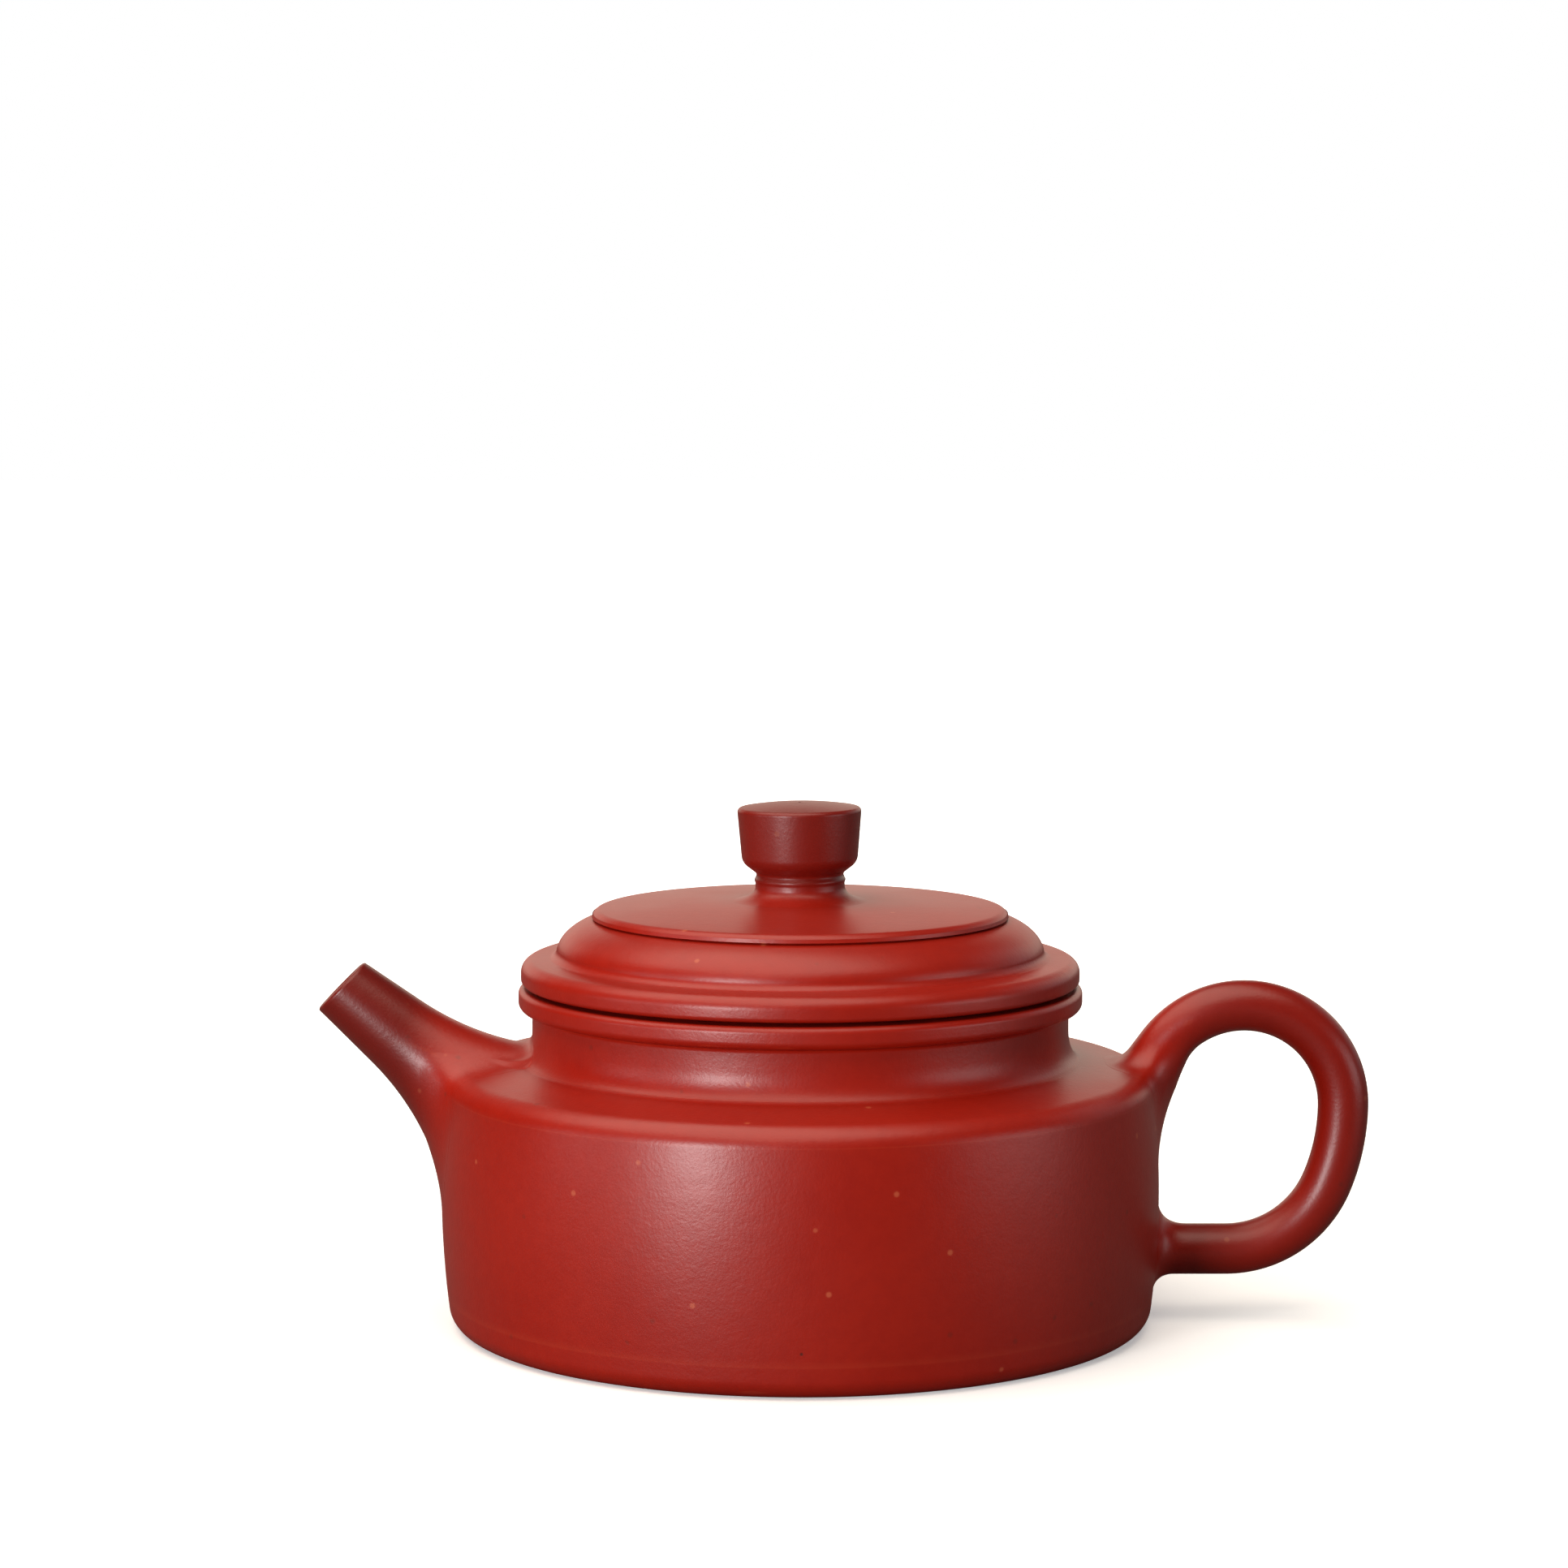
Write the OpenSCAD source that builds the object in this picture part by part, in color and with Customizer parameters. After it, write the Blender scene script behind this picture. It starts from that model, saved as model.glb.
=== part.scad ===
// Stoneware clay teapot with a low drum body, a stepped press lid, a straight flared spout
// and a ring handle. The clay pieces are those the potter cuts, throws and lutes together.
// Origin: where the pot's axis meets the table. +Z is up, the spout points to -X, the handle to +X.

/* [Body] */
// Largest radius of the wall, at the belly
body_r = 44.65; // [43:0.05:48]
// Height of the belly above the table
belly_z = 16; // [14:0.5:18]
// Radius of the wall's upright bulge
bulge_r = 100; // [90:5:200]
// Radius of the flat base
base_r = 39.2; // [38:0.2:41]
// Height of the rounded corner at the foot
foot_h = 1.7; // [1.5:0.1:3]
// Thickness of the base slab
base_t = 4; // [3.5:0.1:5]
// Thickness of the wall
wall_t = 2.8; // [2.2:0.1:3.2]
// Height at which the wall meets the shoulder slab
wall_top = 29.5; // [28.5:0.1:30]
// Radius of the shoulder's rounded outer edge
edge_r = 2.6; // [2:0.1:3]

/* [Neck] */
// Height of the shoulder where it meets the neck
neck_foot_z = 33.15; // [32.8:0.05:33.6]
// Radius of the neck where it leaves the shoulder
neck_foot_r = 35.3; // [34.8:0.1:36]
// Radius of the neck at its waist
neck_r = 33.4; // [33:0.1:33.8]
// Height of the neck's waist
waist_z = 37; // [36:0.1:38]
// Lower edge of the rounded mouth collar
collar_z = 39.1; // [38.6:0.1:39.6]
// Radius of the mouth collar
collar_r = 35.1; // [34.4:0.1:35.4]
// Height of the mouth
mouth_z = 42.1; // [41.8:0.1:42.4]
// Radius of the mouth opening
mouth_r = 29.8; // [29:0.1:30.4]

/* [Lid] */
// Gap between the lid's flange and the mouth
lid_gap = 0.3; // [0.2:0.05:0.5]
// Lift of the lid off the mouth at rest, so that the two faces stay apart
seat_gap = 0.05; // [0.03:0.01:0.1]
// Depth of the flange below the mouth
flange_h = 6; // [4:0.5:7]
// Thickness of the flange
flange_t = 2.4; // [2:0.1:3]
// Radius of the lid's rim
rim_r = 34.7; // [34.2:0.1:35.2]
// Height of the rim plate at its step
rim_h = 3.7; // [3.3:0.1:4]
// Radius of the foot of the rounded step
step_r = 30.1; // [29.5:0.1:30.5]
// Height of the rounded step
step_h = 4.75; // [4.4:0.05:5.4]
// Turn of the step's rounded face, from upright at its foot to the slope that meets the crown
step_turn = 60; // [50:5:80]
// Radius of the crown disc
crown_r = 25.8; // [25:0.1:26.4]
// Height of the crown's rounded edge
crown_edge = 1.0; // [0.6:0.1:1.2]
// Rise of the crown's low dome above its edge
crown_rise = 1.15; // [0.6:0.05:1.4]

/* [Knob] */
// Radius of the knob's foot
knob_foot_r = 6.2; // [5.8:0.1:7]
// Radius of the knob's waist
knob_waist_r = 5.5; // [4.8:0.1:5.8]
// Radius of the knob's lower edge
knob_low_r = 7.1; // [6.6:0.1:7.2]
// Height of the knob's waist above its foot
knob_waist_h = 2.9; // [2.6:0.1:3.6]
// Height of the knob's lower edge above its foot
knob_low_h = 4.7; // [4.4:0.1:5.4]
// Radius of the knob's top
knob_top_r = 7.75; // [7.3:0.05:8]
// Height of the knob's top above the table
knob_top_z = 64.95; // [63.5:0.05:66]
// Rise of the low dome on the knob
knob_dome = 0.75; // [0.4:0.05:1]
// Radius of the vent hole
vent_r = 0.9; // [0.6:0.1:1.2]

/* [Spout] */
// Distance of the tip's centre from the pot's axis
tip_x = 57.25; // [56:0.25:59]
// Height of the tip's centre
tip_z = 42; // [41:0.25:43]
// Slope of the spout's axis
spout_slope = 39.8; // [38:0.2:41]
// Slope of the cut across the tip
tip_cut = 44.5; // [40:0.5:48]
// Outer radius of the tip
tip_r = 4.05; // [3.8:0.05:4.3]
// Thickness of the spout's wall at the tip
tip_t = 1.35; // [1.1:0.05:1.5]
// Length of the straight taper behind the tip
taper_l = 9; // [8:0.5:10]
// Half angle of the taper
taper_a = 5.3; // [4.5:0.1:6]
// Radius of the flare that runs into the body
flare_r = 34; // [33:0.5:36]

/* [Strainer] */
// Height of the pierced ball behind the spout
strainer_z = 24; // [23.6:0.1:24]
// Outer radius of the ball
strainer_r = 5.4; // [5:0.1:5.4]
// Thickness of the ball
strainer_t = 1.4; // [1.2:0.1:1.6]
// Radius of each small hole
pierce_r = 0.75; // [0.6:0.05:0.8]

/* [Handle] */
// Radius of the handle's round section
grip_r = 3.15; // [2.9:0.05:3.3]
// Radius of the upper bend's centre line
bend_r = 12.5; // [12:0.1:13]
// Distance of the upper bend's centre from the pot's axis
bend_x = 55.2; // [55:0.1:56]
// Height of the upper bend's centre
bend_z = 27; // [26.5:0.1:27.5]
// Radius of the long bend down the back
back_r = 26; // [24:0.5:28]
// Turn of the long bend
back_a = 22; // [18:1:24]
// Height of the level lower arm
arm_z = 8.75; // [8.5:0.05:9.2]

/* [Hidden] */
$fn = 96;

clay = [0.59, 0.10, 0.04];
clay_dark = [0.47, 0.08, 0.05];
clay_lid = [0.62, 0.15, 0.09];

over = 1;                         // how far a cutter runs past what it cuts
arc_n = 8;                        // straight steps in a rounded stretch of an outline
soft_r = 0.4;                     // small rounding on an edge

wall_in = body_r - wall_t;        // inner radius of the wall
lid_z = mouth_z + seat_gap;       // underside of the lid's plate
plate_top = lid_z + rim_h;
step_top = plate_top + step_h;
crown_t = 1.4;                    // depth of the crown's seat inside the step
crown_seat_r = crown_r - 1.8;
crown_top = step_top + crown_edge + crown_rise;
flange_r = mouth_r - lid_gap;
ball_in = 0.4;                    // how far the ball's centre stands in from the wall
hollow_r = flange_r - flange_t;   // radius of the hollow under the lid

// ---- outlines, as [radius, height] points ----

function arc(centre, rx, rz, from, to) =
  [for (i = [0 : arc_n]) let (a = from + (to - from) * i / arc_n)
    [centre[0] + rx * cos(a), centre[1] + rz * sin(a)]];

function wall_r(z) = body_r - bulge_r + sqrt(bulge_r * bulge_r - (z - belly_z) * (z - belly_z));

function foot_corner() = arc([base_r, foot_h], wall_r(foot_h) - base_r, foot_h, -90, 0);

function wall_line(from, to) =
  [for (i = [0 : arc_n]) let (z = from + (to - from) * i / arc_n) [wall_r(z), z]];

function shoulder_slope() =
  atan2(neck_foot_z - wall_top - edge_r, wall_r(wall_top) - edge_r - neck_foot_r);

function shoulder_edge() =
  arc([wall_r(wall_top) - edge_r, wall_top], edge_r, edge_r, 0, 90 - shoulder_slope());

function neck_curve() =
  arc([neck_foot_r, waist_z], neck_foot_r - neck_r, waist_z - neck_foot_z, -90, -180);

function collar_curve() = let (r = (mouth_z - collar_z) / 2) arc([collar_r - r, collar_z + r], r, r, -90, 90);

// The whole pot without spout and handle, as a solid: what those two are trimmed to.
module pot_envelope() {
  rotate_extrude() polygon(concat(
    [[0, 0]], foot_corner(), wall_line(foot_h, wall_top), shoulder_edge(), neck_curve(),
    [[neck_r, collar_z]], collar_curve(), [[0, mouth_z]]
  ));
}

// ---- the pot ----

module base_slab() {
  color(clay) rotate_extrude() polygon(concat(
    [[0, 0]], foot_corner(), wall_line(foot_h, base_t), [[0, base_t]]
  ));
}

module wall_band() {
  color(clay) difference() {
    rotate_extrude() polygon(concat(
      [[wall_in, base_t]], wall_line(base_t, wall_top), [[wall_in, wall_top]]
    ));
    translate([-body_r - over, 0, strainer_z]) rotate([0, 90, 0])
      cylinder(h = body_r, r = strainer_r - strainer_t);
  }
}

module shoulder_slab() {
  color(clay) rotate_extrude() polygon(concat(
    [[mouth_r, wall_top]], shoulder_edge(), [[neck_foot_r, neck_foot_z], [mouth_r, neck_foot_z]]
  ));
}

module neck_ring() {
  color(clay) rotate_extrude() polygon(concat(
    [[mouth_r, neck_foot_z]], neck_curve(), [[neck_r, collar_z], [mouth_r, collar_z]]
  ));
}

module mouth_collar() {
  color(clay) rotate_extrude() polygon(concat(
    [[mouth_r, collar_z]], collar_curve(), [[mouth_r + soft_r, mouth_z], [mouth_r, mouth_z - soft_r]]
  ));
}

// A straight taper that opens into a flare. It starts at the origin and runs along +Z.
module trumpet(start_r, flare, end_a) {
  bend_start_r = start_r + taper_l * tan(taper_a);
  rotate_extrude() polygon(concat(
    [[0, -over], [start_r - over * tan(taper_a), -over]],
    [for (i = [0 : 2 * arc_n]) let (a = taper_a + (end_a - taper_a) * i / (2 * arc_n))
      [bend_start_r + flare * (cos(taper_a) - cos(a)), taper_l + flare * (sin(a) - sin(taper_a))]],
    [[0, taper_l + flare * (sin(end_a) - sin(taper_a))]]
  ));
}

module spout_axis() {
  translate([-tip_x, 0, tip_z]) rotate([0, 90 + spout_slope, 0]) children();
}

module spout() {
  cut = 4 * tip_r;
  outer_end = 48;                 // how steep the flare has grown where it ends inside the pot
  bore_end = 46;
  color(clay_dark) difference() {
    spout_axis() trumpet(tip_r, flare_r, outer_end);
    spout_axis() trumpet(tip_r - tip_t, flare_r, bore_end);
    pot_envelope();
    translate([-tip_x, 0, tip_z]) rotate([0, 90 + tip_cut, 0]) translate([-cut / 2, -cut / 2, -cut])
      cube(cut);
  }
}

// The pierced half ball luted over the hole in the wall, so that no leaf reaches the spout.
module strainer_ball() {
  hollow = strainer_r - strainer_t;
  rings = [[0, 1], [30, 6], [56, 10]];   // tilt from the ball's own axis, and number of holes
  color(clay) intersection() {
    translate([ball_in - wall_in, 0, strainer_z]) rotate([0, 90, 0]) difference() {
      rotate_extrude() polygon(concat(
        [[hollow, -over], [strainer_r, -over]],
        arc([0, 0], strainer_r, strainer_r, 0, 90), arc([0, 0], hollow, hollow, 90, 0)
      ));
      for (ring = rings)
        for (i = [0 : ring[1] - 1])
          rotate([0, 0, i * 360 / ring[1]]) rotate([0, ring[0], 0]) translate([0, 0, hollow - over])
            cylinder(h = strainer_t + 2 * over, r = pierce_r, $fn = 24);
    }
    translate([0, 0, base_t]) cylinder(h = wall_top - base_t, r = wall_in);
  }
}

// A bend of the round grip in the pot's upright plane, from one angle through a turn.
module bend(centre, radius, from, turn, thick = grip_r) {
  translate([centre[0], 0, centre[1]]) rotate([90, 0, 0]) rotate([0, 0, from])
    rotate_extrude(angle = turn) translate([radius, 0]) circle(r = thick);
}

module handle() {
  root_a = 150;                   // where the upper bend ends and the root cone starts
  root_l = 14;
  root_r = 6.9;
  fillet = 1.8;
  lap_a = 1;                      // how far the thicker back bend laps over its neighbours
  lap = 1;                        // how far a cone starts inside the stretch that it widens
  lap_in = 0.2;                   // and how much thinner than that stretch it starts
  back_x = bend_x + bend_r - back_r;
  low_x = back_x + back_r * cos(back_a);
  low_z = bend_z - back_r * sin(back_a);
  low_r = (low_z - arm_z) / (1 - sin(back_a));
  arm_x = low_x - low_r * cos(back_a);
  wall_x = wall_r(arm_z);
  color(clay) difference() {
    union() {
      bend([bend_x, bend_z], bend_r, 0, root_a);
      bend([back_x, bend_z], back_r, -back_a - lap_a, back_a + 2 * lap_a, grip_r + 0.05);
      bend([arm_x, arm_z + low_r], low_r, -90, 90 - back_a);
      translate([bend_x + bend_r * cos(root_a), 0, bend_z + bend_r * sin(root_a)])
        rotate([0, -root_a, 0]) translate([0, 0, -lap])
          cylinder(h = root_l + lap, r1 = grip_r - lap_in, r2 = root_r);
      translate([arm_x, 0, arm_z]) rotate([0, -90, 0]) cylinder(h = arm_x - wall_x + fillet, r = grip_r);
      translate([wall_x + fillet + lap_in, 0, arm_z]) rotate([0, -90, 0])
        cylinder(h = 2 * fillet, r1 = grip_r - lap_in, r2 = grip_r + 2 * fillet - lap_in);
    }
    pot_envelope();
  }
}

// ---- the lid ----

module lid_flange() {
  foot_z = lid_z - flange_h;
  color(clay_lid) rotate_extrude() polygon([
    [hollow_r, foot_z], [flange_r - soft_r, foot_z], [flange_r, foot_z + soft_r], [flange_r, lid_z],
    [hollow_r, lid_z]
  ]);
}

module lid_plate() {
  lip = 1.2;                      // radius of the rim's lower edge
  fall = 0.45;                    // fall of the rim's upper face from the step to its edge
  top = rim_h - lip - fall;       // height of the rim's round shoulder above its widest line
  color(clay_lid) rotate_extrude() polygon(concat(
    [[hollow_r, lid_z]], arc([rim_r - lip, lid_z + lip], lip, lip, -90, 0),
    arc([rim_r - lip, lid_z + lip], lip, top, 0, 90),
    [[step_r, plate_top], [hollow_r, plate_top]]
  ));
}

module lid_step() {
  face_rx = (step_r - crown_r) / (1 - cos(step_turn));
  face_rz = step_h / sin(step_turn);
  color(clay_lid) rotate_extrude() polygon(concat(
    [[hollow_r, plate_top]], arc([step_r - face_rx, plate_top], face_rx, face_rz, 0, step_turn),
    [[crown_seat_r, step_top]],
    arc([crown_seat_r, plate_top], hollow_r - crown_seat_r, step_h - crown_t, 90, 0)
  ));
}

module lid_crown() {
  dome_r = crown_r - crown_edge;
  color(clay_lid) difference() {
    rotate_extrude() polygon(concat(
      [[0, step_top - crown_t], [crown_seat_r, step_top - crown_t], [crown_seat_r, step_top]],
      arc([dome_r, step_top], crown_edge, crown_edge, 0, 90),
      [for (i = [1 : arc_n]) let (r = dome_r * (1 - i / arc_n))
        [r, crown_top - crown_rise * pow(r / dome_r, 2)]]
    ));
    translate([0, 0, step_top - crown_t - over])
      cylinder(h = crown_top - step_top + crown_t + 2 * over, r = vent_r);
  }
}

module knob() {
  low_z = crown_top + knob_waist_h;
  dome_r = knob_top_r - soft_r;
  color(clay_lid) difference() {
    rotate_extrude() polygon(concat(
      [[0, crown_top], [knob_foot_r, crown_top]],
      arc([knob_foot_r, low_z], knob_foot_r - knob_waist_r, knob_waist_h, -90, -180),
      arc([knob_low_r, low_z], knob_low_r - knob_waist_r, knob_low_h - knob_waist_h, 180, 90),
      arc([dome_r, knob_top_z - knob_dome - soft_r], soft_r, soft_r, 0, 90),
      [for (i = [1 : arc_n]) let (r = dome_r * (1 - i / arc_n))
        [r, knob_top_z - knob_dome * pow(r / dome_r, 2)]]
    ));
    translate([0, 0, crown_top - over]) cylinder(h = knob_top_z - crown_top + 2 * over, r = vent_r);
  }
}

base_slab();
wall_band();
shoulder_slab();
neck_ring();
mouth_collar();
spout();
strainer_ball();
handle();
lid_flange();
lid_plate();
lid_step();
lid_crown();
knob();
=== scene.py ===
import math

import bmesh
import bpy
from mathutils import Matrix, Vector, noise
from mathutils.geometry import interpolate_bezier


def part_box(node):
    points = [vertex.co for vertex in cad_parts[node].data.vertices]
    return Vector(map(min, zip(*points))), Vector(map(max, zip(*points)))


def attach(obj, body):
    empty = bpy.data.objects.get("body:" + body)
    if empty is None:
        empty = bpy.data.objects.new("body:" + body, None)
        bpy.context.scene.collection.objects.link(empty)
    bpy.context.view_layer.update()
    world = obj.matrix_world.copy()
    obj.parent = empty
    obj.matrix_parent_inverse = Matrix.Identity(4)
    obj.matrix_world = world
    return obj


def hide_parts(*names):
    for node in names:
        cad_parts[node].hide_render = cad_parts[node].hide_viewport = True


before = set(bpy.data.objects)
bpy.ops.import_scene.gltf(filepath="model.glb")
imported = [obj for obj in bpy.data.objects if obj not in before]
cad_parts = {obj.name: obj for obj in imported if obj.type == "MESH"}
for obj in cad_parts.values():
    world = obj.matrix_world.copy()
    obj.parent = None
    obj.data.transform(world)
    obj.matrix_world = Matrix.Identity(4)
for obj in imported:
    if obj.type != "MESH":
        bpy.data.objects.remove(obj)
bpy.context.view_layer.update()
mm = 0.001


def ringOf(node):
    # inner radius, outer radius, bottom and top of a turned piece of the frame
    points = [vertex.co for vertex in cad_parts[node].data.vertices]
    radii = [point.xy.length for point in points]
    heights = [point.z for point in points]
    return min(radii), max(radii), min(heights), max(heights)


wallInner, bellyRadius, wallFoot, wallTop = ringOf("wall_band")
neckFoot = ringOf("shoulder_slab")[3]
mouthRadius, _, _, collarFoot = ringOf("neck_ring")
_, collarRadius, _, mouthTop = ringOf("mouth_collar")
hollowRadius, flangeRadius, _, lidFoot = ringOf("lid_flange")
_, rimRadius, _, plateTop = ringOf("lid_plate")
_, stepRadius, _, stepTop = ringOf("lid_step")
ventRadius, crownRadius, crownFoot, _ = ringOf("lid_crown")
_, knobRadius, knobFoot, knobTop = ringOf("knob")


# outlines: each corner is (radius, height) or (radius, height, rounding) or
# (radius, height, rounding before it, rounding after it), in metres

def rounded(corners):
    flat = [Vector((corner[0], 0, corner[1])) for corner in corners]
    points = [flat[0]]
    for index in range(1, len(corners) - 1):
        here = flat[index]
        if len(corners[index]) == 2:
            points.append(here)
            continue
        start = here + (flat[index - 1] - here).normalized() * corners[index][2]
        end = here + (flat[index + 1] - here).normalized() * corners[index][-1]
        turn = max((here - start).angle(end - here), 0.01)
        pull = 4 / 3 * math.tan(turn / 4) / math.tan(turn / 2)   # makes the corner a round arc
        span = (start - here).length + (end - here).length
        count = 3 + math.ceil(turn / math.radians(7)) + math.ceil(span / (1.5 * mm))
        points += interpolate_bezier(start, start.lerp(here, pull), end.lerp(here, pull), end, count)
    points.append(flat[-1])
    return points


def stretch(outline, low, high):
    # the part of a rising outline between two heights
    part = []
    for first, second in zip(outline, outline[1:]):
        for height in (low, high):
            if first.z < height <= second.z:
                part.append(first.lerp(second, (height - first.z) / (second.z - first.z)))
        if low < second.z < high:
            part.append(second)
    return sorted(part, key=lambda point: point.z)


potShape = {
    "footRadius": 43.55 * mm, "footRound": 2.3 * mm,
    "bulge": 0.80 * mm,               # how far the wall's guide corner stands out past the belly
    "bellyHeight": 15.9 * mm, "bellyRound": 13.4 * mm,
    "edgeRadius": 43.62 * mm, "edgeHeight": 31.6 * mm, "edgeRound": 2.25 * mm,
    "waist": 33.4 * mm, "neckRoundIn": 1.8 * mm, "neckRoundUp": 3.4 * mm,
    "undercut": 0.45 * mm, "collarLow": 0.75 * mm, "collarTop": 0.8 * mm,
    "lipRound": 0.5 * mm, "innerRound": 0.8 * mm,
}


def potOutline():
    shape = potShape
    return rounded([
        (0, 0),
        (shape["footRadius"], 0, shape["footRound"]),
        (bellyRadius + shape["bulge"], shape["bellyHeight"], shape["bellyRound"]),
        (shape["edgeRadius"], shape["edgeHeight"], shape["edgeRound"]),
        (shape["waist"], neckFoot + 0.05 * mm, shape["neckRoundIn"], shape["neckRoundUp"]),
        (shape["waist"], collarFoot + 0.1 * mm, shape["undercut"]),
        (collarRadius, collarFoot + 0.5 * mm, shape["collarLow"]),
        (collarRadius, mouthTop, shape["collarTop"]),
        (mouthRadius, mouthTop, shape["lipRound"]),
        (mouthRadius, collarFoot),
    ])


outline = potOutline()


# the pot's skin as spout and handle meet it

skinLine = [(point.x, point.z) for point in outline if wallFoot / 2 < point.z < collarFoot]
skinParts = [(x0, z0, x1 - x0, z1 - z0, (x1 - x0) ** 2 + (z1 - z0) ** 2)
             for (x0, z0), (x1, z1) in zip(skinLine, skinLine[1:])
             if abs(x1 - x0) + abs(z1 - z0) > 0.001 * mm]


def overSkin(point):
    # height of a point over the skin, and the outward direction there
    radius, height = point.xy.length, point.z
    nearest = None
    for x0, z0, dx, dz, square in skinParts:
        part = min(max(((radius - x0) * dx + (height - z0) * dz) / square, 0), 1)
        offX, offZ = radius - x0 - dx * part, height - z0 - dz * part
        away = offX * offX + offZ * offZ
        if nearest is None or away < nearest[0]:
            nearest = (away, offX, offZ, dz, -dx)
    away, offX, offZ, normalX, normalZ = nearest
    away = math.sqrt(away)
    if offX * normalX + offZ * normalZ < 0:
        away = -away
    if abs(away) > 0.01 * mm:
        normal = Vector((offX, offZ)) / away
    else:
        normal = Vector((normalX, normalZ)).normalized()
    return away, Vector((point.x, point.y, 0)).normalized() * normal.x + Vector((0, 0, normal.y))


def laid(point, height):
    # a point moved to a given height over the skin
    now, outward = overSkin(point)
    return point + outward * (height - now)


def evened(values, rounds=8):
    # a closed run of values, each drawn towards its neighbours
    count = len(values)
    for _ in range(rounds):
        values = [(values[i - 1] + values[i] * 2 + values[(i + 1) % count]) / 4 for i in range(count)]
    return values


def contacts(tube, angles, start, limit):
    # how far along the tube each of its lines meets the skin
    step = 0.5 * mm
    found = []
    for angle in angles:
        length, before = start, overSkin(tube(start, angle))[0]
        while length < limit:
            now = overSkin(tube(length + step, angle))[0]
            if now < 0:
                length += step * before / (before - now)
                break
            length, before = length + step, now
        found.append(length)
    return evened(found)


luting = {
    "lift": 0.35 * mm, "sunk": 0.02 * mm,         # least height over the skin, and how far it ends under it
    "hemRun": 0.6 * mm, "hemDepth": 0.25 * mm,    # the hidden edge, tucked under the skin
    "rootDepth": 1.2 * mm,
}


def lutedRings(tube, angles, start, meets, reachOf, along, bend=14):
    # rings from the start of a tube down to the skin, and over a fillet out onto it
    corners = [laid(tube(length, angle), 0) for length, angle in zip(meets, angles)]
    centre = sum(corners, Vector()) / len(corners)
    feet = []
    for angle, corner in zip(angles, corners):
        feet.append(laid(corner + (corner - centre).normalized() * reachOf(angle), 0))
    rings = []
    for step in range(along):
        part = step / (along - 1)
        rings.append([tube(start + (length - reachOf(angle) - start) * part, angle)
                      for length, angle in zip(meets, angles)])
    for step in range(1, bend + 1):
        part = step / bend
        ring = []
        for first, corner, foot in zip(rings[along - 1], corners, feet):
            point = first * (1 - part) ** 2 + corner * 2 * part * (1 - part) + foot * part ** 2
            least = luting["lift"] * (1 - part) ** 1.5 - luting["sunk"]
            height, outward = overSkin(point)
            ring.append(point + outward * max(least - height, 0))
        rings.append(ring)
    rings.append([laid(foot + (foot - corner).normalized() * luting["hemRun"], -luting["hemDepth"])
                  for foot, corner in zip(feet, corners)])
    rings.append([laid(foot, -luting["rootDepth"]) for foot in feet])
    return rings


potHand = {"seed": 3.7, "depth": 0.14 * mm}
lidHand = {"seed": 9.1, "depth": 0.12 * mm}


def handWobble(mesh, hand):
    # the slight unevenness that hands leave, mostly inwards, the same for all pieces with one seed
    for vertex in mesh.verts:
        spot = vertex.co / (30 * mm) + Vector((hand["seed"], 0, 0))
        fine = vertex.co / (9 * mm) + Vector((0, hand["seed"], 0))
        amount = noise.noise(spot) * 0.8 + noise.noise(fine) * 0.2 - 0.25
        away = vertex.co.xy.length
        fade = min(away / (10 * mm), 1)
        if away > 0:
            vertex.co.xy += vertex.co.xy / away * min(amount, 0) * hand["depth"] * fade


def turned(corners, closed=True, steps=240):
    mesh = bmesh.new()
    verts = [mesh.verts.new(point) for point in corners]
    edges = [mesh.edges.new(pair) for pair in zip(verts, verts[1:])]
    if closed:
        edges.append(mesh.edges.new((verts[-1], verts[0])))
    bmesh.ops.spin(mesh, geom=verts + edges, axis=(0, 0, 1), cent=(0, 0, 0), steps=steps,
                   angle=2 * math.pi, use_merge=True)
    bmesh.ops.remove_doubles(mesh, verts=mesh.verts, dist=0.001 * mm)
    return mesh


def makePiece(mesh, name, node, body, material, sharpAngle=50):
    bmesh.ops.recalc_face_normals(mesh, faces=mesh.faces)
    for face in mesh.faces:
        face.smooth = True
    for edge in mesh.edges:
        edge.smooth = edge.calc_face_angle(0) < math.radians(sharpAngle)
    data = bpy.data.meshes.new(name)
    mesh.to_mesh(data)
    mesh.free()
    piece = bpy.data.objects.new(name, data)
    bpy.context.scene.collection.objects.link(piece)
    data.materials.append(material)
    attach(piece, body)
    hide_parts(node)
    print("made", name, len(data.polygons), "faces")
    return piece


# materials

def addNode(tree, kind, inputs=None, **settings):
    node = tree.nodes.new(kind)
    for key, value in settings.items():
        setattr(node, key, value)
    for key, value in (inputs or {}).items():
        if isinstance(value, bpy.types.NodeSocket):
            tree.links.new(value, node.inputs[key])
        else:
            node.inputs[key].default_value = value
    return node


def math2(tree, operation, first, second, third=None):
    inputs = {0: first, 1: second}
    if third is not None:
        inputs[2] = third
    return addNode(tree, "ShaderNodeMath", inputs, operation=operation).outputs[0]


def remap(tree, value, low, high, toLow=0.0, toHigh=1.0):
    inputs = {"Value": value, "From Min": low, "From Max": high, "To Min": toLow, "To Max": toHigh}
    return addNode(tree, "ShaderNodeMapRange", inputs, interpolation_type="SMOOTHSTEP").outputs["Result"]


def mixColour(tree, amount, first, second, blend="MIX"):
    node = addNode(tree, "ShaderNodeMix", data_type="RGBA", blend_type=blend)
    for index, value in ((0, amount), (6, first), (7, second)):
        if isinstance(value, bpy.types.NodeSocket):
            tree.links.new(value, node.inputs[index])
        else:
            node.inputs[index].default_value = value
    return node.outputs[2]


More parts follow.
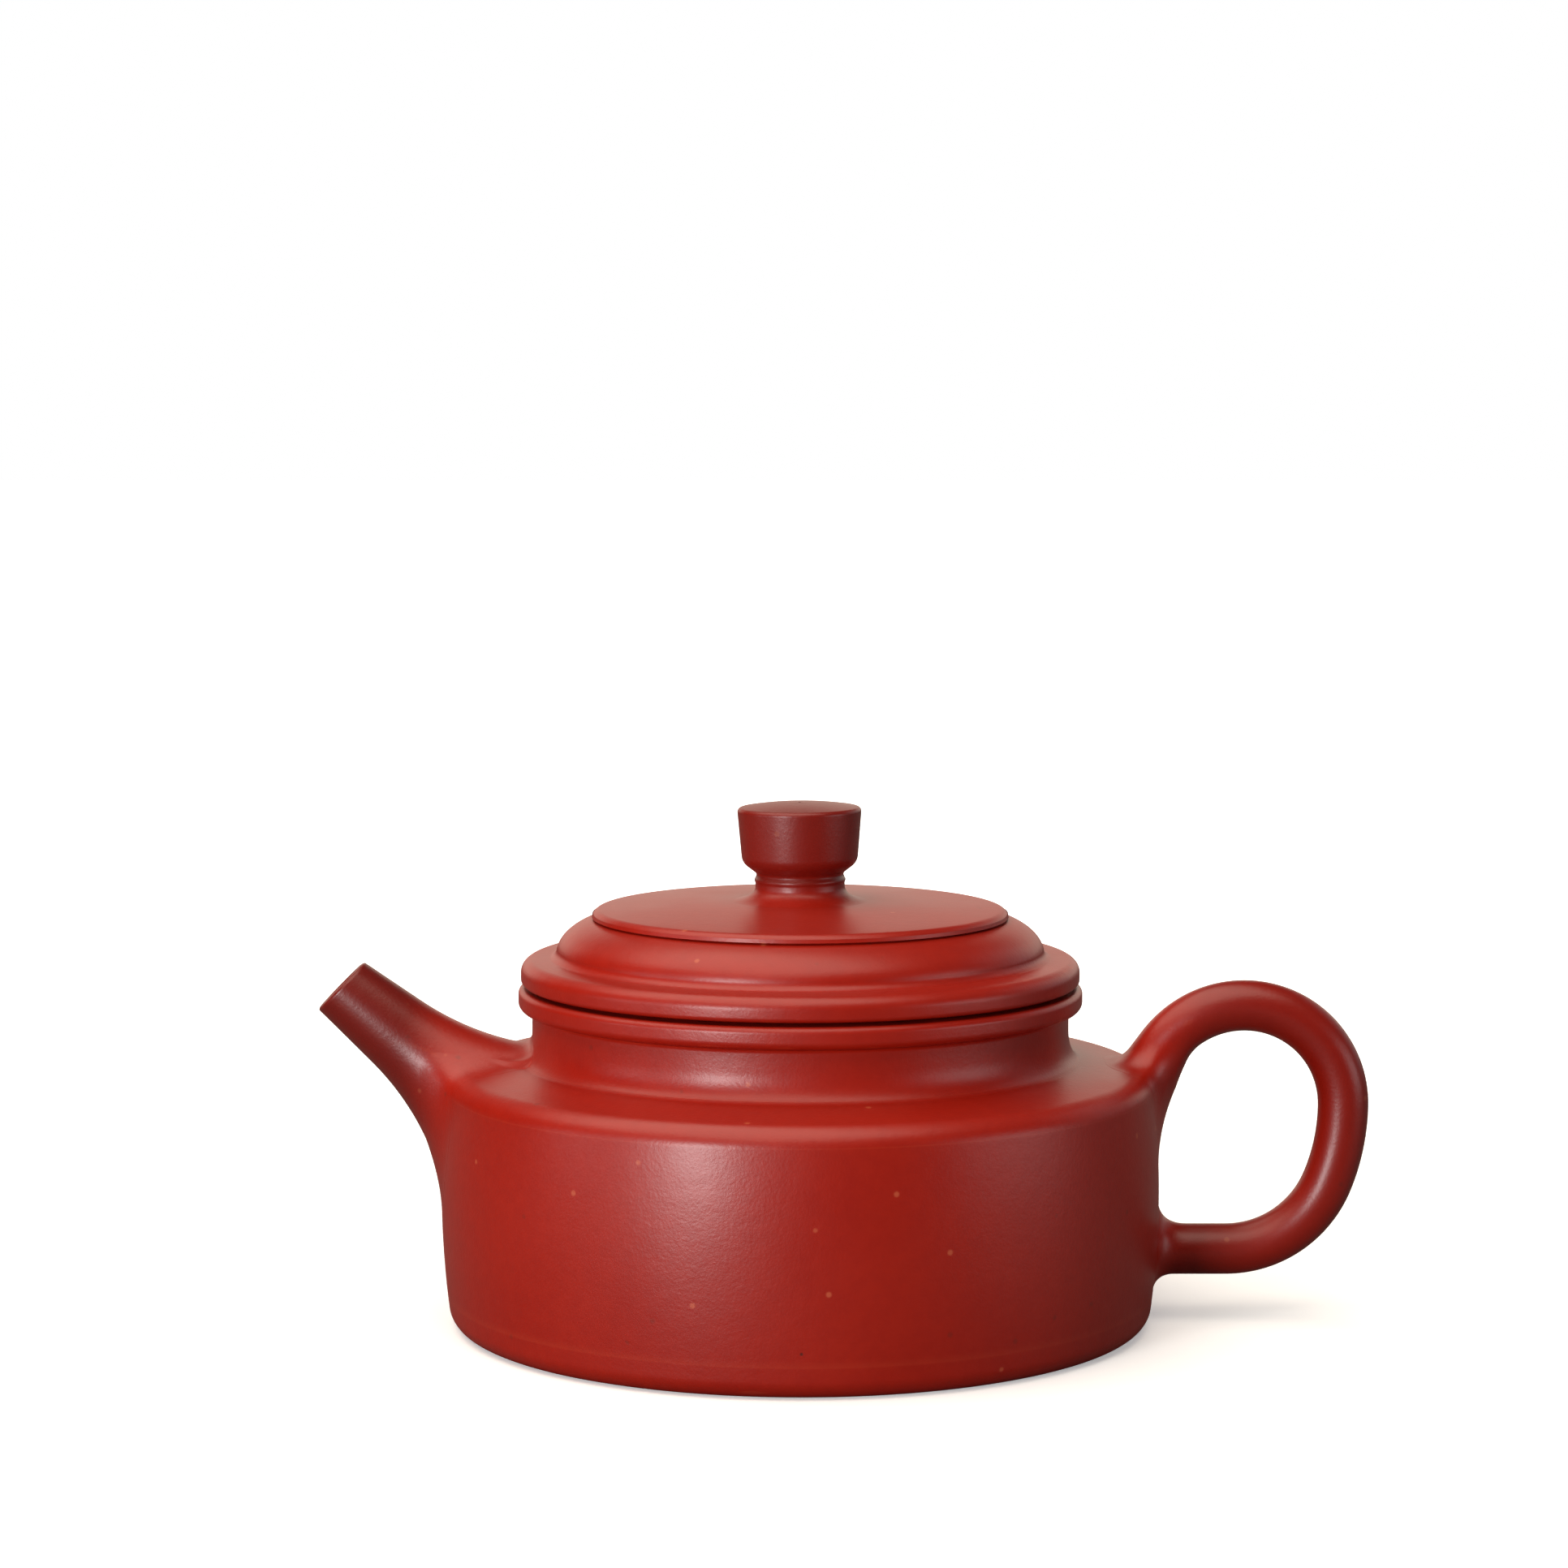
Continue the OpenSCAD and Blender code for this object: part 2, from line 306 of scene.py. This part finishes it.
def newGroup(name, inputs, outputs):
    group = bpy.data.node_groups.new(name, "ShaderNodeTree")
    for label, kind, value in inputs:
        socket = group.interface.new_socket(label, in_out="INPUT", socket_type=kind)
        if value is not None:
            socket.default_value = value
    for label, kind in outputs:
        group.interface.new_socket(label, in_out="OUTPUT", socket_type=kind)
    return group, group.nodes.new("NodeGroupInput").outputs, group.nodes.new("NodeGroupOutput").inputs


def noiseOf(tree, vector, scale, detail=2.0, roughness=0.5, distortion=0.0):
    inputs = {"Vector": vector, "Scale": scale, "Detail": detail, "Roughness": roughness,
              "Distortion": distortion}
    return addNode(tree, "ShaderNodeTexNoise", inputs).outputs["Fac"]


def clayGrainGroup():
    # sandy skin of unglazed clay: fine grain, an orange peel, drag wrinkles and a few open pits
    group, given, result = newGroup(
        "clayGrain",
        [("Vector", "NodeSocketVector", None), ("Grain", "NodeSocketFloat", 1.0),
         ("Peel", "NodeSocketFloat", 1.0), ("Wrinkle", "NodeSocketFloat", 1.0),
         ("Pits", "NodeSocketFloat", 1.0)],
        [("Height", "NodeSocketFloat"), ("Pit Mask", "NodeSocketFloat")])
    vector = given["Vector"]
    fine = noiseOf(group, vector, 2600.0, 3.0, 0.62)
    peel = noiseOf(group, vector, 820.0, 2.0, 0.5, 0.3)
    drawn = addNode(group, "ShaderNodeMapping", {"Vector": vector, "Scale": (1.0, 1.0, 2.6)})
    wrinkle = noiseOf(group, drawn.outputs[0], 210.0, 3.0, 0.5, 0.2)
    cells = addNode(group, "ShaderNodeTexVoronoi", {"Vector": vector, "Scale": 190.0, "Randomness": 1.0})
    chosen = addNode(group, "ShaderNodeSeparateColor", {0: cells.outputs["Color"]}).outputs["Red"]
    rare = math2(group, "GREATER_THAN", chosen, 0.97)
    dip = remap(group, cells.outputs["Distance"], 0.02, 0.06, 1.0, 0.0)
    pit = math2(group, "MULTIPLY", rare, dip)
    height = math2(group, "MULTIPLY", fine, given["Grain"])
    height = math2(group, "MULTIPLY_ADD", peel, given["Peel"], height)
    height = math2(group, "MULTIPLY_ADD", wrinkle, given["Wrinkle"], height)
    depth = math2(group, "MULTIPLY", pit, given["Pits"])
    group.links.new(math2(group, "SUBTRACT", height, depth), result["Height"])
    group.links.new(pit, result["Pit Mask"])
    return group


def clayToneGroup():
    # colour of fired red clay: broad clouds, small mottling, pale and dark specks of sand
    group, given, result = newGroup(
        "clayTone",
        [("Vector", "NodeSocketVector", None), ("Deep", "NodeSocketColor", None),
         ("Warm", "NodeSocketColor", None), ("Sand", "NodeSocketColor", None),
         ("Cloud", "NodeSocketFloat", 0.5), ("Specks", "NodeSocketFloat", 0.5)],
        [("Color", "NodeSocketColor"), ("Polish", "NodeSocketFloat")])
    vector = given["Vector"]
    cloud = remap(group, noiseOf(group, vector, 40.0, 3.0, 0.5), 0.25, 0.75)
    mottle = remap(group, noiseOf(group, vector, 620.0, 3.0, 0.6), 0.3, 0.7)
    tone = math2(group, "MULTIPLY_ADD", cloud, 0.6, math2(group, "MULTIPLY", mottle, 0.4))
    tone = math2(group, "MULTIPLY_ADD", math2(group, "SUBTRACT", tone, 0.5), given["Cloud"], 0.5)
    colour = mixColour(group, tone, given["Deep"], given["Warm"])
    cells = addNode(group, "ShaderNodeTexVoronoi", {"Vector": vector, "Scale": 640.0, "Randomness": 1.0})
    parts = addNode(group, "ShaderNodeSeparateColor", {0: cells.outputs["Color"]}).outputs
    core = remap(group, cells.outputs["Distance"], 0.12, 0.3, 1.0, 0.0)
    pale = math2(group, "MULTIPLY", math2(group, "GREATER_THAN", parts["Red"], 0.985), core)
    dark = math2(group, "MULTIPLY", math2(group, "LESS_THAN", parts["Red"], 0.015), core)
    colour = mixColour(group, math2(group, "MULTIPLY", pale, given["Specks"]), colour, given["Sand"])
    iron = (0.10, 0.012, 0.006, 1)
    colour = mixColour(group, math2(group, "MULTIPLY", dark, given["Specks"]), colour, iron)
    group.links.new(colour, result["Color"])
    group.links.new(cloud, result["Polish"])
    return group


clayGrain = clayGrainGroup()
clayTone = clayToneGroup()


def clayMaterial(name, values):
    material = bpy.data.materials.new(name)
    material.use_nodes = True
    tree = material.node_tree
    shader = tree.nodes["Principled BSDF"]
    coordinates = addNode(tree, "ShaderNodeTexCoord").outputs["Object"]
    placed = addNode(tree, "ShaderNodeMapping", {"Vector": coordinates, "Location": values["offset"]})
    vector = placed.outputs[0]
    tone = addNode(tree, "ShaderNodeGroup", node_tree=clayTone)
    grain = addNode(tree, "ShaderNodeGroup", node_tree=clayGrain)
    for node in (tone, grain):
        tree.links.new(vector, node.inputs["Vector"])
    for key in ("Deep", "Warm", "Sand", "Cloud", "Specks"):
        tone.inputs[key].default_value = values[key.lower()]
    for key in ("Grain", "Peel", "Wrinkle", "Pits"):
        grain.inputs[key].default_value = values[key.lower()]
    rub = addNode(tree, "ShaderNodeNewGeometry").outputs["Pointiness"]   # edges rubbed paler
    edge = remap(tree, rub, 0.52, 0.62, 0.0, values["edgeRub"])
    colour = mixColour(tree, edge, tone.outputs["Color"], values["rubbed"])
    # painted shade: the pits are coloured darker for the shade that falls inside them
    colour = mixColour(tree, grain.outputs["Pit Mask"], colour, values["pit"])
    # painted shade: the colour is darkened along an axis towards the spout, the handle and the knob
    axes = addNode(tree, "ShaderNodeSeparateXYZ", {0: coordinates}).outputs
    for axis, start, end, amount in values["paintedShadeSpans"]:
        paintedShade = remap(tree, axes[axis], start, end, 0.0, amount)
        colour = mixColour(tree, paintedShade, colour, values["paintedShade"])
    tree.links.new(colour, shader.inputs["Base Color"])
    polish = remap(tree, tone.outputs["Polish"], 0.0, 1.0, values["roughLow"], values["roughHigh"])
    tree.links.new(polish, shader.inputs["Roughness"])
    bump = addNode(tree, "ShaderNodeBump", {"Height": grain.outputs["Height"],
                                            "Strength": values["bump"], "Distance": values["depth"]})
    tree.links.new(bump.outputs["Normal"], shader.inputs["Normal"])
    shader.inputs["IOR"].default_value = values["ior"]
    return material


potClayValues = {
    "offset": (0.0, 0.0, 0.0),
    "deep": (0.25, 0.004, 0.0004, 1), "warm": (0.34, 0.009, 0.0008, 1), "sand": (0.62, 0.16, 0.07, 1),
    # the first colour on the next line is painted shade for the spout, the handle and the knob
    # the second colour on the next line is painted shade inside the pits
    "paintedShade": (0.10, 0.004, 0.002, 1), "pit": (0.07, 0.008, 0.004, 1),
    "cloud": 0.5, "specks": 0.35, "edgeRub": 0.12, "rubbed": (0.58, 0.08, 0.03, 1),
    "grain": 0.9, "peel": 0.6, "wrinkle": 0.5, "pits": 0.5,
    "roughLow": 0.36, "roughHigh": 0.4, "bump": 0.8, "depth": 0.03 * mm, "ior": 1.47,
}
# painted shade: the spout, the handle and the lid's knob are made darker where less light falls on them:
# axis, from, to, how much
potClayValues["paintedShadeSpans"] = [("X", -43 * mm, -50 * mm, 0.75), ("X", 44 * mm, 52 * mm, 0.4)]
lidClayValues = dict(potClayValues, offset=(0.031, 0.017, 0.009),
                     paintedShadeSpans=[("Z", 53 * mm, 55.5 * mm, 0.6)])
potClay = clayMaterial("potClay", potClayValues)
lidClay = clayMaterial("lidClay", lidClayValues)
print("clay mixed")


# pot, from the slab up

def potPiece(corners, name, node, closed=True, cut=None):
    mesh = turned(corners, closed)
    if cut:
        cut(mesh)
    handWobble(mesh, potHand)
    return makePiece(mesh, name, node, "pot", potClay)


def vec(radius, height):
    return Vector((radius, 0, height))


strainerHole = {"height": (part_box("strainer_ball")[0].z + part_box("strainer_ball")[1].z) / 2,
                "radius": 4 * mm}


def pierceWall(mesh):
    # opens the wall behind the spout: the faces over the hole go, and the two rims are joined
    centre = Vector((0, strainerHole["height"]))
    def away(point):
        return (Vector((point.y, point.z)) - centre).length
    gone = [face for face in mesh.faces
            if face.calc_center_median().x < 0 and away(face.calc_center_median()) < strainerHole["radius"]]
    bmesh.ops.delete(mesh, geom=gone, context="FACES")
    rim = [edge for edge in mesh.edges if edge.is_boundary]
    for vertex in {vertex for edge in rim for vertex in edge.verts}:
        offset = Vector((vertex.co.y, vertex.co.z)) - centre
        offset = centre + offset.normalized() * strainerHole["radius"]
        vertex.co.y, vertex.co.z = offset
    bmesh.ops.bridge_loops(mesh, edges=rim)


potPiece(outline[:2] + stretch(outline, 0, wallFoot) + [vec(0, wallFoot)], "baseSlab", "base_slab",
         closed=False)
wallOutline = stretch(outline, wallFoot, wallTop)
potPiece(wallOutline + [vec(wallInner, wallTop), vec(wallInner, wallFoot)], "wallBand", "wall_band",
         cut=pierceWall)
neckJoin = neckFoot + 0.12 * mm       # the seam lies a little up the neck's curve
potPiece(stretch(outline, wallTop, neckJoin) + [vec(mouthRadius, neckFoot), vec(mouthRadius, wallTop)],
         "shoulderSlab", "shoulder_slab")
potPiece(stretch(outline, neckJoin, collarFoot)
         + [vec(mouthRadius, collarFoot), vec(mouthRadius, neckFoot)], "neckRing", "neck_ring")
topIndex = max(range(len(outline)), key=lambda i: outline[i].z)
collarOutline = stretch(outline[:topIndex + 1], collarFoot, mouthTop) + outline[topIndex + 1:]
potPiece(collarOutline, "mouthCollar", "mouth_collar")


# spout

spoutShape = {
    "slope": 39.8, "cut": 44.5,       # in degrees: the axis below level, and the cut that ends the tip
    "tipRadius": 4.05 * mm, "wall": 1.35 * mm, "lip": 0.3 * mm,
    "taperLength": 9 * mm, "taper": 5.3, "flare": 34 * mm, "leanRun": 12 * mm,
    "reach": 5 * mm, "reachLess": 3 * mm,      # size of the fillet, and how much smaller it is at the neck
    "searchFrom": 12 * mm, "searchTo": 34 * mm,  # where along the spout the pot's skin is looked for
    "boreDepth": 1.5 * mm,                       # how far the bore runs on past the skin
    "around": 144, "along": 90, "boreRings": 24, "lipRings": 9,
}


def spoutRadius(length):
    # a straight taper that opens into a round flare
    taper = math.radians(spoutShape["taper"])
    if length < spoutShape["taperLength"]:
        return spoutShape["tipRadius"] + length * math.tan(taper)
    base = spoutShape["tipRadius"] + spoutShape["taperLength"] * math.tan(taper)
    lean = math.sin(taper) + (length - spoutShape["taperLength"]) / spoutShape["flare"]
    return base + spoutShape["flare"] * (math.cos(taper) - math.cos(math.asin(min(lean, 0.97))))


def loft(rings):
    # a tube through rings of points: one circle of edges, drawn out from ring to ring
    mesh = bmesh.new()
    count = len(rings[0])
    verts = bmesh.ops.create_circle(mesh, cap_ends=False, segments=count, radius=1)["verts"]
    first = [mesh.edges.get((verts[i], verts[(i + 1) % count])) for i in range(count)]
    edges = first
    for vertex, place in zip(verts, rings[0]):
        vertex.co = place
    for places in rings[1:]:
        made = bmesh.ops.extrude_edge_only(mesh, edges=edges)["geom"]
        fresh = {item for item in made if isinstance(item, bmesh.types.BMVert)}
        pair = {edge.other_vert(vertex): vertex for vertex in fresh for edge in vertex.link_edges
                if edge.other_vert(vertex) not in fresh}
        verts = [pair[vertex] for vertex in verts]
        for vertex, place in zip(verts, places):
            vertex.co = place
        edges = [mesh.edges.get((verts[i], verts[(i + 1) % count])) for i in range(count)]
    return mesh, first, edges


def buildSpout():
    shape = spoutShape
    low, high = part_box("spout")
    cut = math.radians(shape["cut"])
    slope = math.radians(shape["slope"])
    tip = Vector((low.x + shape["tipRadius"] * math.sin(cut), 0,
                  high.z - shape["tipRadius"] * math.cos(cut)))
    axis = Vector((math.cos(slope), 0, -math.sin(slope)))
    up = Vector((math.sin(slope), 0, math.cos(slope)))
    side = Vector((0, 1, 0))
    skew = math.tan(cut - slope)

    def tube(length, radius, angle):
        out = up * math.cos(angle) + side * math.sin(angle)
        # the tip's face leans a little from square, and the lean dies away down the spout
        shift = radius * math.cos(angle) * skew * max(0, 1 - length / shape["leanRun"])
        return tip + axis * (length + shift) + out * radius

    def outside(length, angle):
        return tube(length, spoutRadius(length), angle)

    def inside(length, angle):
        return tube(length, spoutRadius(length) - shape["wall"], angle)

    def reachOf(angle):
        return shape["reach"] - shape["reachLess"] * max(math.cos(angle), 0) ** 2

    angles = [2 * math.pi * index / shape["around"] for index in range(shape["around"])]
    search = (shape["searchFrom"], shape["searchTo"])
    meets = contacts(outside, angles, *search)
    boreEnds = [length + shape["boreDepth"] for length in contacts(inside, angles, *search)]
    rings = []
    for step in range(shape["boreRings"]):
        part = 1 - step / (shape["boreRings"] - 1)
        rings.append([inside(shape["lip"] + (end - shape["lip"]) * part, angle)
                      for end, angle in zip(boreEnds, angles)])
    middle = shape["tipRadius"] - shape["wall"] / 2
    for step in range(1, shape["lipRings"]):          # over the rounded lip
        turn = math.pi * step / shape["lipRings"]
        radius = middle - shape["wall"] / 2 * math.cos(turn)
        length = shape["lip"] * (1 - math.sin(turn))
        rings.append([tube(length, radius, angle) for angle in angles])
    rings += lutedRings(outside, angles, shape["lip"], meets, reachOf, shape["along"])
    mesh, first, last = loft(rings)
    bmesh.ops.bridge_loops(mesh, edges=first + last)
    handWobble(mesh, potHand)
    return makePiece(mesh, "spout", "spout", "pot", potClay)


buildSpout()


# handle

handleShape = {
    "grip": 3.15 * mm, "topBend": 12.5 * mm, "topTurn": 144, "backBend": 26 * mm, "backTurn": 22,
    "armHeight": 8.75 * mm, "rootRun": 12 * mm,
    "innerFlare": 1.8 * mm, "sideFlare": 0.9 * mm, "flareRun": 9 * mm, "flareMost": 1.2,
    # size of the fillet at each root: at the sides, more on the finger's side, less on the outer side
    "upperReach": (4.8 * mm, 1.2 * mm, 2.6 * mm), "lowerReach": (3 * mm, 0.8 * mm, 0.4 * mm),
    "lowerFrom": 30 * mm,             # where along the lower arm the pot's skin is looked for
    "around": 96, "along": 60, "step": 0.6 * mm,
}


def walk(start, heading, bends):
    # a path of bends, each (length or radius, turn to the left in degrees)
    path = [(start, heading)]
    place, angle = start, heading
    for size, degrees in bends:
        turn = math.radians(degrees)
        length = size * abs(turn) if degrees else size
        count = max(1, round(length / handleShape["step"]))
        chord = length / count
        if degrees:
            chord = 2 * size * math.sin(abs(turn) / count / 2)
        for _ in range(count):
            angle += turn / count / 2
            place = place + Vector((math.cos(angle), 0, math.sin(angle))) * chord
            angle += turn / count / 2
            path.append((place, angle))
    return path


def buildHandle():
    shape = handleShape
    low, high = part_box("handle")
    top = Vector((high.x - shape["grip"], 0, high.z - shape["grip"] - shape["topBend"]))
    backTurn = math.radians(shape["backTurn"])
    kneeHeight = top.z - shape["backBend"] * math.sin(backTurn)
    lowBend = (kneeHeight - shape["armHeight"]) / (1 - math.sin(backTurn))
    upPath = walk(top, math.pi / 2, [(shape["topBend"], shape["topTurn"]), (shape["rootRun"], 0)])
    upPath = [(place, heading + math.pi) for place, heading in upPath]     # seen from the root
    downPath = walk(top, -math.pi / 2, [(shape["backBend"], -shape["backTurn"]),
                                        (lowBend, shape["backTurn"] - 90), (shape["rootRun"] * 2, 0)])
    rootStart = shape["topBend"] * math.radians(shape["topTurn"]) - shape["flareRun"] / 2

    def gripPoint(path, length, angle, radius):
        index = min(int(length / shape["step"]), len(path) - 2)
        part = length / shape["step"] - index
        (placeA, headingA), (placeB, headingB) = path[index], path[index + 1]
        heading = headingA + (headingB - headingA) * part
        up, side = math.cos(angle), math.sin(angle)
        out = Vector((-math.sin(heading) * up, side, math.cos(heading) * up))
        return placeA.lerp(placeB, part) + out * radius

    def upper(length, angle):
        # the root widens towards the pot, most of all on the finger's side
        near = max(length - rootStart, 0) / shape["flareRun"]
        wider = (shape["innerFlare"] * max(-math.cos(angle), 0) ** 2
                 + shape["sideFlare"] * math.sin(angle) ** 2)
        return gripPoint(upPath, length, angle, shape["grip"] + wider * min(near, shape["flareMost"]) ** 2)

    def lower(length, angle):
        return gripPoint(downPath, length, angle, shape["grip"])

    def reaching(sides, more, less):
        def reachOf(angle):
            inner = -math.cos(angle)
            return sides + more * max(inner, 0) ** 2 - less * max(-inner, 0) ** 2
        return reachOf

    angles = [2 * math.pi * index / shape["around"] for index in range(shape["around"])]
    upMeets = contacts(upper, angles, rootStart, (len(upPath) - 1) * shape["step"])
    downMeets = contacts(lower, angles, shape["lowerFrom"], (len(downPath) - 1) * shape["step"])
    upperReach, lowerReach = reaching(*shape["upperReach"]), reaching(*shape["lowerReach"])
    rings = lutedRings(upper, angles, 0, upMeets, upperReach, shape["along"])[::-1]
    rings += lutedRings(lower, angles, 0, downMeets, lowerReach, shape["along"])[1:]
    mesh, first, last = loft(rings)
    bmesh.ops.holes_fill(mesh, edges=first + last)
    handWobble(mesh, potHand)
    return makePiece(mesh, "handle", "handle", "pot", potClay)


buildHandle()


# lid

lidShape = {
    "hairline": 0.03 * mm,            # room for the lid to turn over its flange
    "slit": 0.4 * mm, "rimLow": 0.6 * mm, "rimDrop": 0.4 * mm, "rimTop": 1.5 * mm,
    "stepFoot": 0.9 * mm, "stepHeight": 48.75 * mm, "stepUp": 2.3 * mm, "stepIn": 3.8 * mm,
    "groove": 0.3 * mm, "crownRound": 0.9 * mm,
    "crownEdge": 1.05 * mm, "domeRadius": 12.5 * mm, "domeRound": 11 * mm,
}
seatRadius = ringOf("lid_step")[0]
grooveRadius = crownRadius - lidShape["groove"]


def lidPiece(corners, name, node, body="lid", tilt=None):
    mesh = turned(corners)
    handWobble(mesh, lidHand)
    if tilt:
        tilt(mesh)
    return makePiece(mesh, name, node, body, lidClay)


def buildLid():
    shape = lidShape
    lidPiece(rounded([
        (hollowRadius, lidFoot - shape["hairline"]), (hollowRadius, ringOf("lid_flange")[2], 0.6 * mm),
        (flangeRadius, ringOf("lid_flange")[2], 0.7 * mm), (flangeRadius, lidFoot - shape["hairline"]),
    ]), "lidFlange", "lid_flange", "flange")
    lidPiece(rounded([
        (hollowRadius, lidFoot), (flangeRadius + 1.5 * mm, lidFoot),
        (flangeRadius + 1.9 * mm, lidFoot + shape["slit"]),
        (rimRadius, lidFoot + shape["slit"], shape["rimLow"]),
        (rimRadius, plateTop - shape["rimDrop"], shape["rimTop"]),
        (stepRadius - 0.3 * mm, plateTop), (hollowRadius, plateTop),
    ]), "lidPlate", "lid_plate")
    lidPiece(rounded([
        (hollowRadius, plateTop), (stepRadius + 1.2 * mm, plateTop - 0.15 * mm),
        (stepRadius + 0.15 * mm, plateTop + 0.05 * mm, 0.9 * mm, shape["stepFoot"]),
        (stepRadius + 0.1 * mm, shape["stepHeight"], shape["stepUp"], shape["stepIn"]),
        (grooveRadius, stepTop), (seatRadius, stepTop), (seatRadius, crownFoot),
        (hollowRadius, crownFoot, 2.8 * mm, 3.4 * mm),
    ] + [(hollowRadius, plateTop)])[:-1], "lidStep", "lid_step")
    lidPiece(rounded([
        (ventRadius, crownFoot), (seatRadius, crownFoot), (seatRadius, stepTop), (grooveRadius, stepTop),
        (crownRadius + 0.05 * mm, stepTop + shape["groove"], 0.12 * mm, 0.3 * mm),
        (crownRadius - 0.1 * mm, stepTop + shape["crownEdge"], shape["crownRound"]),
        (shape["domeRadius"], knobFoot, shape["domeRound"]), (ventRadius, knobFoot),
    ]), "lidCrown", "lid_crown")


buildLid()

knobShape = {
    "skirt": 9.2 * mm, "stem": 5.62 * mm, "stemTop": 2.2 * mm,
    "bead": 5.75 * mm, "beadHeight": 2.6 * mm, "waist": 5.42 * mm, "waistHeight": 3.2 * mm,
    "lowEdge": 7.2 * mm, "lowHeight": 4.75 * mm, "topEdge": 11.5 * mm, "lean": 0.5,
}


def leanKnob(mesh):
    turn = Matrix.Rotation(math.radians(-knobShape["lean"]), 3, "Y")
    foot = Vector((0, 0, knobFoot))
    for vertex in mesh.verts:
        part = min(max((vertex.co.z - knobFoot) / (2 * mm), 0), 1)
        turnedPlace = foot + turn @ (vertex.co - foot)
        vertex.co = vertex.co.lerp(turnedPlace, part)


def buildKnob():
    shape = knobShape
    lidPiece(rounded([
        (ventRadius, knobFoot - 0.5 * mm), (shape["skirt"] + 0.2 * mm, knobFoot - 0.5 * mm),
        (shape["skirt"], knobFoot - 0.15 * mm),
        (shape["stem"], knobFoot + 0.1 * mm, 2.9 * mm, 1.6 * mm),
        (shape["stem"] - 0.05 * mm, knobFoot + shape["stemTop"], 0.15 * mm),
        (shape["bead"], knobFoot + shape["beadHeight"], 0.25 * mm),
        (shape["waist"] + 0.03 * mm, knobFoot + shape["waistHeight"] - 0.2 * mm, 0.3 * mm),
        (shape["waist"], knobFoot + shape["waistHeight"] + 0.2 * mm, 0.3 * mm),
        (shape["lowEdge"], knobFoot + shape["lowHeight"], 0.8 * mm),
        (knobRadius, knobFoot + shape["topEdge"], 0.5 * mm),
        (3.6 * mm, knobTop - 0.05 * mm, 3.4 * mm),
        (ventRadius, knobTop - 0.05 * mm, 0.2 * mm),
        (ventRadius, knobFoot - 0.5 * mm),
    ])[:-1], "knob", "knob", tilt=leanKnob)


buildKnob()

# the pierced ball keeps the frame's own shape
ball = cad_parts["strainer_ball"]
ball.data.materials.clear()
ball.data.materials.append(potClay)


# stage, light and camera

def floorMaterial(name, seenColour, dimColour):
    # a pale paper sweep: lit by itself far from the pot, and dim to the light it throws back
    material = bpy.data.materials.new(name)
    material.use_nodes = True
    tree = material.node_tree
    shader = tree.nodes["Principled BSDF"]
    seen = addNode(tree, "ShaderNodeLightPath").outputs["Is Camera Ray"]
    place = addNode(tree, "ShaderNodeTexCoord").outputs["Object"]
    away = addNode(tree, "ShaderNodeVectorMath", {0: place}, operation="LENGTH").outputs["Value"]
    glow = math2(tree, "MULTIPLY", remap(tree, away, 0.05, 0.5, 0.35, 1.0), seen)
    tree.links.new(mixColour(tree, seen, dimColour, seenColour), shader.inputs["Base Color"])
    tree.links.new(glow, shader.inputs["Emission Strength"])
    shader.inputs["Emission Color"].default_value = (1, 1, 1, 1)
    shader.inputs["Roughness"].default_value = 0.9
    return material


def makeFloor():
    mesh = bmesh.new()
    bmesh.ops.create_grid(mesh, x_segments=8, y_segments=8, size=4)
    data = bpy.data.meshes.new("floor")
    mesh.to_mesh(data)
    mesh.free()
    floor = bpy.data.objects.new("floor", data)
    bpy.context.scene.collection.objects.link(floor)
    data.materials.append(floorMaterial("floorPaper", (0.95, 0.95, 0.95, 1), (0.12, 0.12, 0.12, 1)))


def aim(thing, place, target):
    thing.location = place
    thing.rotation_euler = (Vector(target) - Vector(place)).to_track_quat("-Z", "Y").to_euler()


def addLight(name, place, target, width, height, power, colour=(1, 1, 1)):
    lamp = bpy.data.lights.new(name, "AREA")
    lamp.shape = "RECTANGLE"
    lamp.size, lamp.size_y = width, height
    lamp.energy = power
    lamp.color = colour
    thing = bpy.data.objects.new(name, lamp)
    bpy.context.scene.collection.objects.link(thing)
    aim(thing, place, target)
    return thing


def around(azimuth, distance, height):
    # azimuth in degrees from the front, towards the handle's side
    turn = math.radians(azimuth)
    return (distance * math.sin(turn), -distance * math.cos(turn), height)


def lightScene():
    middle = (0, 0, 25 * mm)
    addLight("keyPanel", around(-33, 1.0, 0.14), middle, 0.24, 0.27, 7.6)
    addLight("edgePanel", around(-72, 1.0, 0.13), middle, 0.3, 0.22, 0.8)
    addLight("fillPanel", around(70, 1.0, 0.16), middle, 0.6, 0.3, 1.6)
    addLight("topPanel", (-0.22, -0.16, 0.95), middle, 1.5, 1.1, 15, (1, 0.9, 0.76))
    addLight("backdropPanel", (0, 1.1, 0.3), middle, 1.8, 0.5, 3.4, (1, 0.85, 0.7))
    addLight("backPanel", around(125, 1.0, 0.4), middle, 0.6, 0.7, 0.7)
    world = bpy.data.worlds.new("studio")
    world.use_nodes = True
    tree = world.node_tree
    background = tree.nodes["Background"]
    seen = addNode(tree, "ShaderNodeLightPath").outputs["Is Camera Ray"]
    tree.links.new(mixColour(tree, seen, (0.02, 0.02, 0.02, 1), (1, 1, 1, 1)), background.inputs["Color"])
    background.inputs["Strength"].default_value = 1.0
    bpy.context.scene.world = world


def addCamera():
    camera = bpy.data.cameras.new("camera")
    camera.sensor_width = 36
    camera.lens = 96.9
    camera.clip_start, camera.clip_end = 0.01, 20
    thing = bpy.data.objects.new("camera", camera)
    thing.location = (-0.00202, -0.520, 0.1183)
    thing.rotation_euler = (math.radians(90 - 5.616), 0, 0)
    bpy.context.scene.collection.objects.link(thing)
    bpy.context.scene.camera = thing


makeFloor()
lightScene()
addCamera()
bpy.context.scene.view_settings.view_transform = "Standard"
print("stage set")
